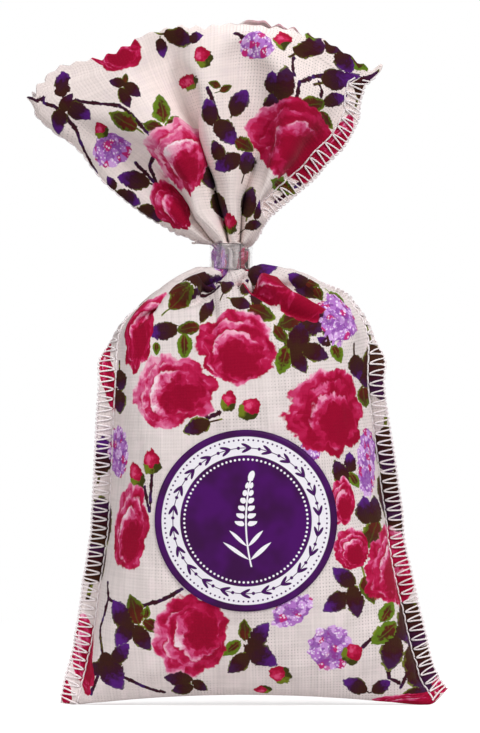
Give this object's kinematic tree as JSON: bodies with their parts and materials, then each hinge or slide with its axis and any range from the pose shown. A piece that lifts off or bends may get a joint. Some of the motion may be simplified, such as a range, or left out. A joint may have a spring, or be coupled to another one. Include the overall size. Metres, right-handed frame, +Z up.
{
  "type": "lavender sachet",
  "caption": "Stuffed cotton pouch of dried lavender with overlocked side seams, a taped neck, a gathered frill with a pinked edge and a round front label, for scenting linen.",
  "frame": {"origin": "middle of the flattened base that the sachet stands on", "axes": "+Z up through the neck, the labelled front faces -Y, +X to the right of someone who looks at the front"},
  "size_m": [0.0921, 0.0381, 0.1519],
  "materials": {
    "printed_cotton": "matt plain-weave cotton, off-white with a rose, bud, leaf and lilac print",
    "overlock_thread": "spun white thread",
    "clear_tape": "clear, glossy",
    "label_paper": "coated paper, satin, purple and white",
    "dried_lavender": "matt dried flower buds"
  },
  "bodies": {
    "pouch": {"pouch_cloth": "printed_cotton", "lavender_fill": "dried_lavender", "round_label": "label_paper", "left_needle_thread": "overlock_thread", "left_upper_looper_thread": "overlock_thread", "left_lower_looper_thread": "overlock_thread", "right_needle_thread": "overlock_thread", "right_upper_looper_thread": "overlock_thread", "right_lower_looper_thread": "overlock_thread"},
    "neck": {"neck_gather": "printed_cotton", "neck_tape": "clear_tape"},
    "frill": {"frill_cloth": "printed_cotton", "frill_left_needle_thread": "overlock_thread", "frill_left_upper_looper_thread": "overlock_thread", "frill_left_lower_looper_thread": "overlock_thread", "frill_right_needle_thread": "overlock_thread", "frill_right_upper_looper_thread": "overlock_thread", "frill_right_lower_looper_thread": "overlock_thread"}
  },
  "joints": [
    {"name": "neck_sway", "type": "hinge", "parent": "pouch", "child": "neck", "pos_m": [-0.0034, 0, 0.0955], "axis": [0, 1, 0], "range_deg": [-15, 15], "stiffness_Nm_per_rad": 0.006},
    {"name": "frill_nod", "type": "hinge", "parent": "neck", "child": "frill", "pos_m": [-0.0034, 0, 0.1048], "axis": [1, 0, 0], "range_deg": [-35, 35], "stiffness_Nm_per_rad": 0.004}
  ]
}
